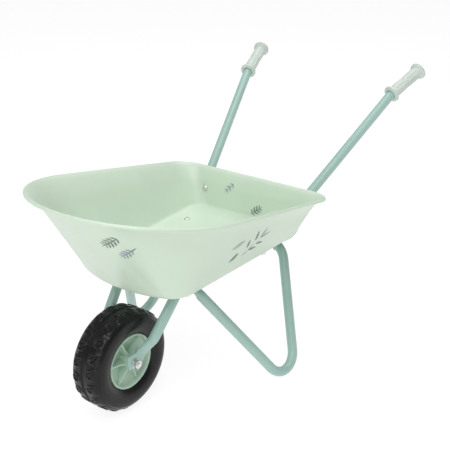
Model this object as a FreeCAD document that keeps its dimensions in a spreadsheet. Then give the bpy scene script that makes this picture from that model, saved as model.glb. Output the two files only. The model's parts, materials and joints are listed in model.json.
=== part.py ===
import FreeCAD, Part
import math
import os
import Sketcher
from FreeCAD import Placement, Rotation, Vector

# A child's steel wheelbarrow: a pressed tray on two bent frame tubes, one bent tube for both legs,
# moulded grips and a moulded wheel on a bolted axle.
# +X is the user's left, -Y is forward (the wheel end), +Z is up. The ground is z = 0 and x = 0 is the
# middle plane. "aft" is a distance behind the axle, "up" is a height above the ground.

SIZES = {
    # where the axle stands in the frame, so that the origin is under the middle of the barrow
    "axle_y": -274.46,
    # tubes
    "tube_od": 17.0,
    "tube_wall": 1.2,
    # wheel
    "wheel_radius": 86.0,
    "tyre_half": 31.0,
    "tyre_bore": 44.0,
    "tyre_bead_half": 23.0,
    "groove_half": 3.0,
    "groove_depth": 3.0,
    "shoulder_half": 22.0,
    "sidewall_high": 70.0,
    "sidewall_low": 56.0,
    "hub_lip_radius": 46.6,
    "hub_lip": 2.4,
    "hub_wall": 2.5,
    "hub_web": 2.4,
    "hub_web_outer": 13.0,
    "hub_web_inner": 5.0,
    "boss_radius": 12.0,
    "boss_half": 26.0,
    "rib_count": 6,
    "rib_thick": 2.2,
    "rib_outer": 21.0,
    "bush_radius": 8.0,
    "bush_flange": 10.5,
    "bush_long": 14.0,
    "bush_flange_thick": 1.6,
    "running_gap": 0.06,
    "sleeve_radius": 6.0,
    # axle bolt, M8
    "axle_radius": 4.0,
    "axle_head_flats": 13.0,
    "axle_head": 5.3,
    "axle_nut": 6.5,
    "axle_tail": 2.0,
    "axle_washer_radius": 8.0,
    "axle_washer": 1.4,
    # flattened ends of the fork arms
    "tab_x": 31.0,
    "tab_thick": 3.6,
    "tab_width": 25.0,
    "tab_corner": 5.0,
    "tab_nose": 15.0,
    "tab_rise": 4.5,
    # frame fasteners, M6
    "bolt_radius": 3.0,
    "bolt_head_radius": 5.6,
    "bolt_head": 2.8,
    "nut_flats": 10.0,
    "nut_thick": 5.0,
    "washer_radius": 6.2,
    "washer_thick": 1.2,
    "bolt_tail": 1.2,
    "front_bolt_tail": 5.5,
    "fit_gap": 0.05,
    "seat_radius": 7.5,
    "seat_depth": 0.4,
    "screw_radius": 2.5,
    "screw_head_radius": 4.8,
    "screw_bite": 3.2,
    "screw_rise": 0.38,
    # tray
    "sheet": 1.0,
    "floor_height": 204.6,
    "floor_slope": 0.0265,
    "floor_edge": 16.0,
    "rim_height": 350.7,
    "rim_slope": -0.18,
    "bead_radius": 3.0,
    "lip_out": 11.5,
    "lip_up": 3.5,
    # legs
    "foot_bend": 35.3,
    "crossbar_bend": 41.0,
    "leg_tab_width": 22.0,
    "leg_tab_thick": 3.6,
    # grips
    "grip_long": 85.0,
    "grip_radius": 10.7,
    "grip_waist": 10.2,
    "grip_flange": 15.6,
    "grip_flange_thick": 4.6,
    "grip_end_radius": 15.8,
    "grip_cap": 7.0,
    "grip_bore": 70.0,
}

# The tray's outlines: x of the side at the rear, middle and front, the rear and front stations of those
# side points, the nose's station, the corner radii and the half width at which the nose arc starts.
RIM = {
    "rear_x": 168.4, "mid_x": 175.7, "front_x": 180.9,
    "rear_aft": 375.9, "front_aft": -18.2, "nose_aft": -109.6,
    "rear_corner": 48.0, "front_corner": 174.2,
}
FLOOR = {
    "rear_x": 118.5, "mid_x": 113.0, "front_x": 106.0,
    "rear_aft": 351.5, "front_aft": 33.0, "nose_aft": 5.5,
    "rear_corner": 33.4, "front_corner": 42.0,
}

doc = FreeCAD.newDocument("wheelbarrow")
sheet = doc.addObject("Spreadsheet::Sheet", "sizes")
for row, (alias, value) in enumerate(SIZES.items(), start=1):
    sheet.set(f"A{row}", alias)
    sheet.set(f"B{row}", str(value))
    sheet.setAlias(f"B{row}", alias)
doc.recompute()

nodes = []


def size(alias):
    """A driving dimension, read back from the spreadsheet."""
    return float(getattr(sheet, alias))


def place(x, aft, up):
    """A point given by its distance behind the axle and its height above the ground."""
    return Vector(x, size("axle_y") + aft, up)


def other_side(point):
    """The mirror image of a point or a direction about the middle plane."""
    return Vector(-point.x, point.y, point.z)


def bind(thing, **expressions):
    """Tie an object's properties to expressions of the sheet's cells."""
    for name, expression in expressions.items():
        thing.setExpression(name, expression)
    return thing


def cells(expression):
    """The expression with each alias written as a reference to the sheet."""
    words = sorted(SIZES, key=len, reverse=True)
    out, rest = "", expression
    while rest:
        word = next((w for w in words if rest.startswith(w)), None)
        inside = bool(out) and (out[-1].isalnum() or out[-1] == "_")
        if word and not inside:
            out += f"sizes.{word}"
            rest = rest[len(word):]
        else:
            out += rest[0]
            rest = rest[1:]
    return out


def node(thing, label):
    """Name a finished sub-part. Its label is its file's name."""
    thing.Label = label
    nodes.append(thing)
    return thing


def feature(label, shape, placement=None):
    """A sub-part whose shape comes from Part's own functions."""
    thing = doc.addObject("Part::Feature", label)
    thing.Shape = shape
    thing.Placement = placement or Placement()
    return node(thing, label)


def group(label, members):
    """Identical separate solids that share one node."""
    thing = doc.addObject("Part::Compound", label)
    thing.Links = members
    return node(thing, label)


# ---------------------------------------------------------------- curves and tubes


def rounded_path(points, radii):
    """A wire of straight runs joined by tangent arcs; radii are for the inner points."""
    edges, start = [], points[0]
    for before, corner, after, radius in zip(points, points[1:], points[2:], radii):
        into = (before - corner).normalize()
        out = (after - corner).normalize()
        half = into.getAngle(out) / 2
        reach = radius / math.tan(half)
        middle = (into + out).normalize()
        centre = corner + middle * (radius / math.sin(half))
        first = corner + into * reach
        last = corner + out * reach
        edges.append(Part.LineSegment(start, first).toShape())
        edges.append(Part.Arc(first, centre - middle * radius, last).toShape())
        start = last
    edges.append(Part.LineSegment(start, points[-1]).toShape())
    return Part.Wire(edges)


def oval(centre, along, broad, half_broad, half_thin):
    """An elliptical wire across the direction along, with its long axis near broad."""
    along = Vector(along).normalize()
    broad = (broad - along * broad.dot(along)).normalize()
    thin = along.cross(broad)
    curve = Part.Ellipse(centre + broad * half_broad, centre + thin * half_thin, centre)
    return Part.Wire([curve.toShape()])


def pipe(path, radius):
    """A round solid bar along a path."""
    start = path.Edges[0]
    circle = Part.Circle(start.valueAt(start.FirstParameter), start.tangentAt(start.FirstParameter), radius)
    return path.makePipeShell([Part.Wire([circle.toShape()])], True, False)


def rod(start, along, radius, length):
    """A plain cylinder, used to drill and to clear."""
    return Part.makeCylinder(radius, length, start, along)


def drill(shape, centre, along, radius, reach=60.0):
    """Cut a round hole through everything within reach of a point."""
    along = Vector(along).normalize()
    return shape.cut(rod(centre - along * reach, along, radius, 2 * reach))


# ---------------------------------------------------------------- stations of the frame

floor_rise = Vector(0, 1, size("floor_slope")).normalize()
floor_up = Vector(0, -size("floor_slope"), 1).normalize()
tube_radius = size("tube_od") / 2


def floor_under(aft):
    """Height of the tray's underside at a station."""
    return size("floor_height") + size("floor_slope") * aft


def run_height(aft):
    """Height of the frame tubes' centre line under the tray."""
    return floor_under(aft) - tube_radius


FORK_TOP_AFT = 82.5
REAR_CORNER_AFT = 356.3
FRONT_BOLT_AFT = 96.0
REAR_BOLT_AFT = 278.0
FORK_BEND, REAR_BEND, HANDLE_BEND, GRIP_BEND = 20.6, 18.0, 26.0, 40.0
TUBE_IN_GRIP = 68.0
WALL_BOLT_SHARE = 0.66
# the rear wall has started to turn into the tray's corner where the tube meets it
WALL_TURN = 4.1
RUN_X = (60.6, 95.5)


def run_x(aft):
    """Distance of the frame tubes from the middle plane, under the tray."""
    share = (aft - FORK_TOP_AFT) / (REAR_CORNER_AFT - FORK_TOP_AFT)
    return RUN_X[0] + share * (RUN_X[1] - RUN_X[0])


fork_foot = place(52.5, 24.1, 127.3)
fork_top = place(RUN_X[0], FORK_TOP_AFT, run_height(FORK_TOP_AFT))
rear_corner = place(RUN_X[1], REAR_CORNER_AFT, run_height(REAR_CORNER_AFT))
handle_foot = place(107.9, 370.4, 265.0)
grip_mouth = place(162.6, 577.3, 424.9)
grip_end = place(180.6, 653.2, 459.4)
grip_along = (grip_end - grip_mouth).normalize()
axle = place(0, 0, size("wheel_radius"))
leg_top = place(83.6, 109.4, 174.4)
foot_corner = place(190.0, 237.6, -37.8)
# the crossbar's bend touches the frame tube from below and inside
bar_corner = place(93.8, 326.76, 193.37)
wall_up = (handle_foot - rear_corner).normalize()
wall_turn = Rotation(wall_up, -WALL_TURN)
wall_in = wall_turn.multVec(Vector(1, 0, 0).cross(wall_up).normalize())


def frame_path():
    """The frame tube's centre line from the fork arm's foot to its end inside the grip."""
    tube_end = grip_mouth + grip_along * TUBE_IN_GRIP
    bends = (FORK_BEND, REAR_BEND, HANDLE_BEND, GRIP_BEND)
    return rounded_path([fork_foot, fork_top, rear_corner, handle_foot, grip_mouth, tube_end], bends)


def stand_path():
    """The centre line of both legs, their feet and the crossbar."""
    side = [leg_top, foot_corner, bar_corner]
    points = side + [other_side(point) for point in reversed(side)]
    foot_bend, bar_bend = size("foot_bend"), size("crossbar_bend")
    return rounded_path(points, (foot_bend, bar_bend, bar_bend, foot_bend))


# where the crossbar and the frame tube touch, on their centre lines
bar_touch, tube_touch = stand_path().distToShape(frame_path())[1][0]
screw_up = (tube_touch - bar_touch).normalize()


# ---------------------------------------------------------------- tray


def circle_meet(first, first_radius, second, second_radius):
    """The forward one of the two meeting points of two circles in the plane."""
    gap = second - first
    span = gap.Length
    along = (first_radius**2 - second_radius**2 + span**2) / (2 * span)
    aside = math.sqrt(first_radius**2 - along**2)
    foot = first + gap * (along / span)
    across = Vector(-gap.y, gap.x, 0) * (aside / span)
    return min(foot + across, foot - across, key=lambda point: point.y)


def circle_through(a, b, c):
    """Centre and radius of the circle through three points in the plane."""
    circle = Part.Arc(a, b, c).toShape().Curve
    return Vector(circle.Center), circle.Radius


def shrink(plan, inset):
    """The plan set in by a distance all round."""
    small = {name: value - inset for name, value in plan.items()}
    small["front_aft"] = plan["front_aft"]
    small["nose_aft"] = plan["nose_aft"] + inset
    return small


def mix(low, high, share):
    """A plan or a number part of the way from one to another."""
    if isinstance(low, dict):
        return {name: mix(low[name], high[name], share) for name in low}
    return low + (high - low) * share


def outline(plan, height, slope):
    """A closed outline of tangent arcs in a plane that is tilted about the axle's line."""
    stretch = math.hypot(1, slope)
    plan = {name: value * (stretch if name.endswith("aft") else 1) for name, value in plan.items()}
    mid_aft = (plan["rear_aft"] + plan["front_aft"]) / 2
    side, side_radius = circle_through(
        Vector(plan["rear_x"], plan["rear_aft"], 0),
        Vector(plan["mid_x"], mid_aft, 0),
        Vector(plan["front_x"], plan["front_aft"], 0),
    )
    nose, nose_radius = circle_through(
        Vector(plan["front_x"], plan["front_aft"], 0),
        Vector(0, plan["nose_aft"], 0),
        Vector(-plan["front_x"], plan["front_aft"], 0),
    )
    rear_radius, front_radius = plan["rear_corner"], plan["front_corner"]
    front = circle_meet(side, side_radius - front_radius, nose, nose_radius - front_radius)
    # the rear corner's centre lies a radius ahead of the straight rear edge and inside the side arc
    rear_y = plan["rear_aft"] - rear_radius
    rear_x = side.x + math.sqrt((side_radius - rear_radius) ** 2 - (rear_y - side.y) ** 2)
    rear = Vector(rear_x, rear_y, 0)

    def step(start, towards, length):
        return start + (towards - start).normalize() * length

    rear_start = rear + Vector(0, rear_radius, 0)
    rear_stop = step(rear, rear * 2 - side, rear_radius)
    front_start = step(front, front * 2 - side, front_radius)
    front_stop = step(front, front * 2 - nose, front_radius)
    rear_mid = step(rear, (rear_start + rear_stop) * 0.5, rear_radius)
    front_mid = step(front, (front_start + front_stop) * 0.5, front_radius)
    side_mid = step(side, (rear_stop + front_start) * 0.5, side_radius)
    nose_mid = Vector(0, nose.y - nose_radius, 0)

    half = [
        (rear_start, rear_mid, rear_stop),
        (rear_stop, side_mid, front_start),
        (front_start, front_mid, front_stop),
    ]
    arcs = half + [(front_stop, nose_mid, other_side(front_stop))]
    arcs += [tuple(other_side(point) for point in reversed(arc)) for arc in reversed(half)]
    edges = [Part.Arc(*arc).toShape() for arc in arcs]
    edges.append(Part.LineSegment(other_side(rear_start), rear_start).toShape())
    tilt = Rotation(Vector(1, 0, 0), math.degrees(math.atan(slope)))
    wire = Part.Wire(edges)
    wire.Placement = Placement(Vector(0, size("axle_y"), height), tilt)
    return wire


WALL_ANGLE = math.radians(66)
EDGE_STEPS = 4
brim_plan = shrink(RIM, size("bead_radius") + size("lip_out"))
brim_height = size("rim_height") - size("lip_up")


def tray_level(share, inset, raised):
    """The bowl's outline part of the way up its wall."""
    return outline(
        shrink(mix(FLOOR, brim_plan, share), inset),
        mix(size("floor_height"), brim_height, share) + raised,
        mix(size("floor_slope"), size("rim_slope"), share),
    )


def tray_solid(skin):
    """The tray as one solid: its outside, or with the sheet's thickness as skin its hollow."""
    radius = size("floor_edge") - skin
    wall = skin / math.sin(WALL_ANGLE)
    high = brim_height - size("floor_height")
    reach = radius * math.tan(WALL_ANGLE / 2)
    levels = []
    for step in range(EDGE_STEPS + 1):
        angle = WALL_ANGLE * step / EDGE_STEPS
        lift = radius * (1 - math.cos(angle))
        inset = reach - radius * math.sin(angle) + lift / math.tan(WALL_ANGLE)
        levels.append(tray_level(lift / high, inset + wall, skin))
    levels.append(tray_level(1, wall, skin / 2))
    levels.append(outline(shrink(RIM, size("bead_radius")), size("rim_height") + skin, size("rim_slope")))
    return Part.makeLoft(levels, True, True)


def tray_shape():
    """A pressed tray: thin floor and walls, a flared lip and a rolled edge."""
    pressed = tray_solid(0).cut(tray_solid(size("sheet")))
    edge = outline(shrink(RIM, size("bead_radius")), size("rim_height"), size("rim_slope"))
    return pressed.fuse(pipe(edge, size("bead_radius")))


def mirrored(shape):
    """The same shape on the other side of the middle plane."""
    return shape.mirror(Vector(0, 0, 0), Vector(1, 0, 0))


def frame_at(origin, up, ahead=Vector(0, 1, 0)):
    """A placement whose +Z is up and whose +X lies near ahead."""
    return Placement(origin, Rotation(ahead, Vector(), up, "ZXY"))


def floor_point(aft, drop):
    """A point on the frame tube's line, a distance under the tray's underside."""
    return place(run_x(aft), aft, floor_under(aft)) - floor_up * drop


wall_centre = rear_corner + (handle_foot - rear_corner) * WALL_BOLT_SHARE
# the pressed wall's thickness, with room for the head where the tray's corner starts to turn
WALL_STACK = size("sheet") * 1.07 + 2.1


def tray():
    shape = tray_shape()
    for aft in (FRONT_BOLT_AFT, REAR_BOLT_AFT):
        top = floor_point(aft, -size("sheet"))
        hole = rod(top - floor_up * 5, floor_up, size("bolt_radius") + 0.2, 10)
        seat = rod(top - floor_up * size("seat_depth"), floor_up, size("seat_radius"), 5)
        for cutter in (hole, seat):
            shape = shape.cut([cutter, mirrored(cutter)])
    hole = rod(wall_centre, wall_in, size("bolt_radius") + 0.2, 20)
    return shape.cut([hole, mirrored(hole)])


feature("tray", tray())

# ---------------------------------------------------------------- frame tubes

# a flattened end starts inside its tube, just under the tube's skin
NECK_OVERLAP, NECK_STEP = 6.0, 0.2
# how far the flat of a fork end runs behind the axle
TAB_AFT = 13.0


def yz_across(along):
    """The direction across a fork arm's run that stays in the wheel's plane."""
    return Vector(0, along.z, -along.y)


def fork_end():
    """The fork arm's lower end: an S-bend that flattens into an upright tab at the axle."""
    down = (fork_foot - fork_top).normalize()
    tab_up = size("wheel_radius") + size("tab_rise")
    half_tab = size("tab_width") / 2
    half_thick = size("tab_thick") / 2
    plug = tube_radius - NECK_STEP
    steps = [
        (fork_foot - down * NECK_OVERLAP, down, plug, plug * 0.999),
        (fork_foot, down, plug, plug * 0.999),
        (place(46.6, 20.9, 118.6), Vector(-0.5, -0.36, -0.79), 8.8, 7.4),
        (place(39.5, 17.6, 109.0), Vector(-0.5, -0.36, -0.79), 10.2, 5.0),
        (place(33.4, 14.2, 99.0), Vector(-0.3, -0.5, -0.81), 11.4, 2.8),
        (place(size("tab_x"), 11.0, tab_up), Vector(0, -0.94, -0.34), half_tab - 0.7, half_thick - 0.1),
    ]
    wires = [oval(centre, along, yz_across(along), broad, thin) for centre, along, broad, thin in steps]
    neck = Part.makeLoft(wires, True, False)
    corner = place(size("tab_x") - half_thick, -size("tab_nose"), tab_up - half_tab)
    plate = Part.makeBox(size("tab_thick"), size("tab_nose") + TAB_AFT, size("tab_width"), corner)
    nose = [edge for edge in plate.Edges if edge.BoundBox.YMax < corner.y + 1
            and edge.BoundBox.XLength > 1]
    plate = plate.makeFillet(size("tab_corner"), nose)
    return neck.fuse(plate)


def frame_tube():
    """One tube from the axle, under the tray, up behind it and on into the grip."""
    path = frame_path()
    shape = pipe(path, tube_radius).cut(pipe(path, tube_radius - size("tube_wall")))
    shape = shape.fuse(fork_end())
    hole = size("bolt_radius") + 0.2
    for aft in (FRONT_BOLT_AFT, REAR_BOLT_AFT):
        shape = drill(shape, floor_point(aft, tube_radius), floor_up, hole, 15)
    shape = drill(shape, wall_centre, wall_in, hole, 15)
    shape = shape.cut(rod(bar_touch, screw_up, size("screw_radius") + size("fit_gap"), size("tube_od")))
    return drill(shape, place(size("tab_x"), 0, axle.z), Vector(1, 0, 0), size("axle_radius") + 0.1, 8)


left_tube = frame_tube()
feature("left_frame_tube", left_tube)
feature("right_frame_tube", mirrored(left_tube))

# ---------------------------------------------------------------- legs

leg_tab_centre = floor_point(FRONT_BOLT_AFT, size("tube_od") + size("leg_tab_thick") / 2)


def leg_end():
    """The leg's front end: it turns level and flattens into a tab under the frame tube."""
    up = (leg_top - foot_corner).normalize()
    tab_start = place(71.0, 101.5, 0)
    tab_start.z = leg_tab_centre.z
    ahead = (leg_tab_centre - tab_start).normalize()
    half_tab = size("leg_tab_width") / 2
    plug = tube_radius - NECK_STEP
    steps = [
        (leg_top - up * NECK_OVERLAP, up, plug, plug * 0.999),
        (leg_top, up, plug, plug * 0.999),
        (place(80.2, 106.8, 180.4), Vector(-0.60, -0.42, 0.68), 9.0, 6.4),
        (place(75.6, 103.9, 184.6), Vector(-0.82, -0.42, 0.38), 10.2, 3.2),
        (tab_start, ahead, half_tab - 0.3, size("leg_tab_thick") / 2 - 0.1),
    ]
    wires = [oval(centre, along, along.cross(Vector(0, 0, 1)), broad, thin)
             for centre, along, broad, thin in steps]
    neck = Part.makeLoft(wires, True, False)
    thick = size("leg_tab_thick")
    reach = (leg_tab_centre - tab_start).Length
    strip = Part.makeBox(reach + 2, 2 * half_tab, thick, Vector(0, -half_tab, -thick / 2))
    strip.Placement = frame_at(leg_tab_centre, floor_up, tab_start - leg_tab_centre).multiply(strip.Placement)
    nose = rod(leg_tab_centre - floor_up * (thick / 2), floor_up, half_tab, thick)
    # the tab is dressed to the frame tube, which starts to bend down above it
    return neck.fuse([strip, nose]).cut(pipe(frame_path(), tube_radius + size("fit_gap")))


def leg_stand():
    """Both legs in one tube: front tab, foot, crossbar, foot and front tab."""
    path = stand_path()
    shape = pipe(path, tube_radius).cut(pipe(path, tube_radius - size("tube_wall")))
    end = leg_end()
    shape = shape.fuse([end, mirrored(end)])
    for tab, tab_up, touch, touch_up in (
        (leg_tab_centre, floor_up, bar_touch, screw_up),
        (other_side(leg_tab_centre), floor_up, other_side(bar_touch), other_side(screw_up)),
    ):
        shape = drill(shape, tab, tab_up, size("bolt_radius") + 0.2, 8)
        shape = drill(shape, touch, touch_up, size("screw_radius") + 0.1, 10)
    return shape


feature("leg_stand", leg_stand())

# ---------------------------------------------------------------- turned and moulded pieces

ORIGIN_PLANE = "XZ_Plane"
TOWARDS_USER_LEFT = Rotation()
TURNED_ABOUT = Rotation(Vector(0, 0, 1), 180)


def body(label, placement):
    thing = doc.addObject("PartDesign::Body", label)
    thing.Placement = placement
    return node(thing, label)


def outline_sketch(owner, name, corners):
    """A closed polygon; each corner is a pair of expressions: distance along the axis and radius."""
    sketch = owner.newObject("Sketcher::SketchObject", name)
    plane = next(item for item in owner.Origin.OriginFeatures if item.Role == ORIGIN_PLANE)
    sketch.AttachmentSupport = [(plane, "")]
    sketch.MapMode = "FlatFace"
    spots = [Vector(number(along), number(radius), 0) for along, radius in corners]
    for index, spot in enumerate(spots):
        sketch.addGeometry(Part.LineSegment(spot, spots[(index + 1) % len(spots)]), False)
    for index, (along, radius) in enumerate(corners):
        sketch.addConstraint(Sketcher.Constraint("Coincident", index, 2, (index + 1) % len(corners), 1))
        for kind, axis, text in (("DistanceX", -2, along), ("DistanceY", -1, radius)):
            if text == "0":
                sketch.addConstraint(Sketcher.Constraint("PointOnObject", index, 1, axis))
                continue
            line = sketch.addConstraint(Sketcher.Constraint(kind, index, 1, number(text)))
            sketch.setExpression(f"Constraints[{line}]", cells(text))
    return sketch


def number(expression):
    """The value of an expression of the sheet's cells: sums, differences, products and quotients."""
    total = 0.0
    for sign, term in signed_terms(expression):
        value = 1.0
        for factor in term.split("*"):
            parts = [part.strip() for part in factor.split("/")]
            values = [size(part) if part in SIZES else float(part) for part in parts]
            value *= values[0]
            for divisor in values[1:]:
                value /= divisor
        total += sign * value
    return total


def signed_terms(expression):
    """The terms of a sum with their signs."""
    spaced = expression.replace("-", "+-").split("+")
    return [(-1, term.strip()[1:].strip()) if term.strip().startswith("-") else (1, term.strip())
            for term in spaced if term.strip()]


def revolve(owner, name, corners):
    """Turn a profile about the body's X axis."""
    sketch = outline_sketch(owner, name + "_profile", corners)
    turned = owner.newObject("PartDesign::Revolution", name)
    turned.Profile = sketch
    turned.ReferenceAxis = (sketch, ["H_Axis"])
    turned.Angle = 360
    return turned


def tyre():
    owner = body("tyre", Placement(axle - Vector(size("tyre_half"), 0, 0), TOWARDS_USER_LEFT))
    near = [
        ("0", "wheel_radius - groove_depth"),
        ("groove_half", "wheel_radius - groove_depth"),
        ("groove_half + 1.5", "wheel_radius"),
        ("shoulder_half", "wheel_radius - 1.2"),
        ("tyre_half - 3.5", "wheel_radius - 5.5"),
        ("tyre_half - 0.6", "sidewall_high + 3"),
        ("tyre_half", "sidewall_high - 4"),
        ("tyre_half - 1.5", "sidewall_low + 2"),
        ("tyre_half - 4.5", "hub_lip_radius + 4"),
        ("tyre_bead_half + 1.1", "hub_lip_radius + 0.6"),
        ("tyre_bead_half - 1.8", "hub_lip_radius + 0.3"),
        ("tyre_bead_half - 1.8", "tyre_bore"),
    ]
    right_side = [("tyre_half + " + along if along != "0" else "tyre_half", radius) for along, radius in near]
    left_side = [(flipped(along), radius) for along, radius in near[1:]]
    revolve(owner, "tyre_ring", right_side + left_side[::-1])


def flipped(along):
    """tyre_half less a distance, written out as an expression."""
    swapped = along.replace("-", "#").replace("+", "-").replace("#", "+")
    terms = "tyre_half - " + swapped
    return "0" if swapped == "tyre_half" else terms


def hub_half(label, turn):
    """One moulded half of the wheel's centre: rim, dished web, boss and radial ribs."""
    owner = body(label, Placement(axle, turn))
    revolve(owner, label + "_dish", [
        ("0", "tyre_bore - hub_wall"),
        ("0", "tyre_bore"),
        ("tyre_bead_half - 1.8", "tyre_bore"),
        ("tyre_bead_half - 1.4", "hub_lip_radius"),
        ("tyre_bead_half + 1", "hub_lip_radius"),
        ("tyre_bead_half + 1", "hub_lip_radius - hub_lip"),
        ("hub_web_outer + hub_web", "tyre_bore - hub_wall"),
        ("hub_web_inner + hub_web", "boss_radius"),
        ("boss_half", "boss_radius"),
        ("boss_half", "bush_radius"),
        ("0", "bush_radius"),
        ("0", "boss_radius"),
        ("hub_web_inner", "boss_radius"),
        ("hub_web_outer", "tyre_bore - hub_wall"),
    ])
    sketch = outline_sketch(owner, label + "_rib_profile", [
        ("hub_web_inner + 1", "boss_radius - 0.5"),
        ("rib_outer + 3", "boss_radius - 0.5"),
        ("rib_outer - 1", "tyre_bore - hub_wall + 0.5"),
        ("hub_web_outer + 1", "tyre_bore - hub_wall + 0.5"),
    ])
    rib = owner.newObject("PartDesign::Pad", label + "_rib")
    rib.Profile = sketch
    rib.Midplane = True
    bind(rib, Length=cells("rib_thick"))
    doc.recompute()
    ribs = owner.newObject("PartDesign::PolarPattern", label + "_ribs")
    ribs.Originals = [rib]
    ribs.Axis = (sketch, ["H_Axis"])
    ribs.Angle = 360
    bind(ribs, Occurrences=cells("rib_count"))
    owner.Tip = ribs


def bush(label, turn):
    """A flanged bush pressed into one end of the hub."""
    owner = body(label, Placement(axle, turn))
    revolve(owner, label + "_turned", [
        ("boss_half - bush_long", "sleeve_radius + running_gap"),
        ("boss_half - bush_long", "bush_radius"),
        ("boss_half", "bush_radius"),
        ("boss_half", "bush_flange"),
        ("boss_half + bush_flange_thick", "bush_flange"),
        ("boss_half + bush_flange_thick", "sleeve_radius + running_gap"),
    ])


def grip(label, side):
    """A moulded grip with a flange at its mouth and a wider closed end."""
    mouth = Vector(side * grip_mouth.x, grip_mouth.y, grip_mouth.z)
    along = Vector(side * grip_along.x, grip_along.y, grip_along.z)
    owner = body(label, Placement(mouth, Rotation(Vector(1, 0, 0), along)))
    revolve(owner, label + "_moulding", [
        ("0", "tube_od / 2 + fit_gap"),
        ("0", "grip_flange - 1.2"),
        ("1.2", "grip_flange"),
        ("grip_flange_thick - 1.2", "grip_flange"),
        ("grip_flange_thick", "grip_flange - 1.2"),
        ("grip_flange_thick + 1", "grip_radius + 0.6"),
        ("grip_flange_thick + 3", "grip_radius"),
        ("grip_long / 2", "grip_waist"),
        ("grip_long - grip_cap - 3", "grip_radius"),
        ("grip_long - grip_cap", "grip_radius + 1.2"),
        ("grip_long - grip_cap + 1", "grip_end_radius - 1"),
        ("grip_long - grip_cap + 2", "grip_end_radius"),
        ("grip_long - 2", "grip_end_radius - 0.4"),
        ("grip_long - 0.6", "grip_end_radius - 2.4"),
        ("grip_long", "grip_end_radius - 6"),
        ("grip_long", "0"),
        ("grip_bore", "0"),
        ("grip_bore", "tube_od / 2 + fit_gap"),
    ])


tyre()
for side_name, turn in (("left", TOWARDS_USER_LEFT), ("right", TURNED_ABOUT)):
    hub_half(side_name + "_hub_half", turn)
    bush(side_name + "_hub_bush", turn)
grip("left_grip", 1)
grip("right_grip", -1)

# ---------------------------------------------------------------- axle and fasteners


def cylinder(name, radius, height, base="0"):
    """A cylinder on the local Z axis, from a base height, all given as expressions."""
    thing = doc.addObject("Part::Cylinder", name)
    bind(thing, Radius=cells(radius), Height=cells(height))
    thing.setExpression("Placement.Base.z", cells(base))
    return thing


def hexagon(name, flats, height, base="0"):
    """A hexagonal prism on the local Z axis, sized across its flats."""
    thing = doc.addObject("Part::Prism", name)
    thing.Polygon = 6
    bind(thing, Circumradius=cells(flats) + " / 2 / cos(30)", Height=cells(height))
    thing.setExpression("Placement.Base.z", cells(base))
    return thing


def joined(name, kind, base, tool, placement):
    """A fuse or cut of two primitives, moved to its place."""
    thing = doc.addObject(f"Part::{kind}", name)
    thing.Base = base
    thing.Tool = tool
    thing.Placement = placement
    return thing


def pan_bolt(name, placement, stack, tail):
    """A round-headed bolt whose head stands on the local origin; stack is what it clamps."""
    head = cylinder(name + "_head", "bolt_head_radius", "bolt_head")
    length = f"{stack} + washer_thick + nut_thick + {tail}"
    shank = cylinder(name + "_shank", "bolt_radius", length, f"0 - ({length})")
    return joined(name, "Fuse", head, shank, placement)


def ring(name, placement, radius, bore, height, base):
    outside = cylinder(name + "_outside", radius, height, base)
    inside = cylinder(name + "_bore", bore, height, base)
    return joined(name, "Cut", outside, inside, placement)


def nut(name, placement, flats, bore, height, base):
    outside = hexagon(name + "_outside", flats, height, base)
    inside = cylinder(name + "_bore", bore, height, base)
    return joined(name, "Cut", outside, inside, placement)


def seats(centre, up):
    """The placements of a fastener on the user's left and of its mirror image on the right."""
    return (("l", frame_at(centre, up)), ("r", frame_at(other_side(centre), other_side(up))))


def bolted(label, seat, up, stack, tail="bolt_tail"):
    """The bolts, washers and nuts of one pair of holes, as three nodes."""
    bolts, washers, nuts = [], [], []
    bore = "bolt_radius + fit_gap"
    for side, placement in seats(seat, up):
        bolts.append(pan_bolt(f"{label}_bolt_{side}", placement, stack, tail))
        low = f"0 - ({stack}) - washer_thick"
        washers.append(ring(f"{label}_washer_{side}", placement, "washer_radius", bore, "washer_thick", low))
        low += " - nut_thick"
        nuts.append(nut(f"{label}_nut_{side}", placement, "nut_flats", bore, "nut_thick", low))
    group(label + "_bolts", bolts)
    group(label + "_washers", washers)
    group(label + "_nuts", nuts)


TRAY_STACK = "sheet - seat_depth + tube_od"
floor_seat = -(size("sheet") - size("seat_depth"))
front_stack = TRAY_STACK + " + leg_tab_thick"
bolted("front_floor", floor_point(FRONT_BOLT_AFT, floor_seat), floor_up, front_stack, "front_bolt_tail")
bolted("rear_floor", floor_point(REAR_BOLT_AFT, floor_seat), floor_up, TRAY_STACK)
bolted("rear_wall", wall_centre + wall_in * (tube_radius + WALL_STACK), wall_in, f"{WALL_STACK} + tube_od")


def crossbar_screws():
    """Screws from under the crossbar into the frame tubes."""
    screws = []
    length = "tube_od + screw_bite"
    for side, placement in seats(bar_touch - screw_up * (tube_radius + size("screw_rise")), -screw_up):
        head = cylinder(f"crossbar_screw_head_{side}", "screw_head_radius", "bolt_head")
        shank = cylinder(f"crossbar_screw_shank_{side}", "screw_radius", length, f"0 - ({length})")
        screws.append(joined(f"crossbar_screw_{side}", "Fuse", head, shank, placement))
    group("crossbar_screws", screws)


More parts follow.
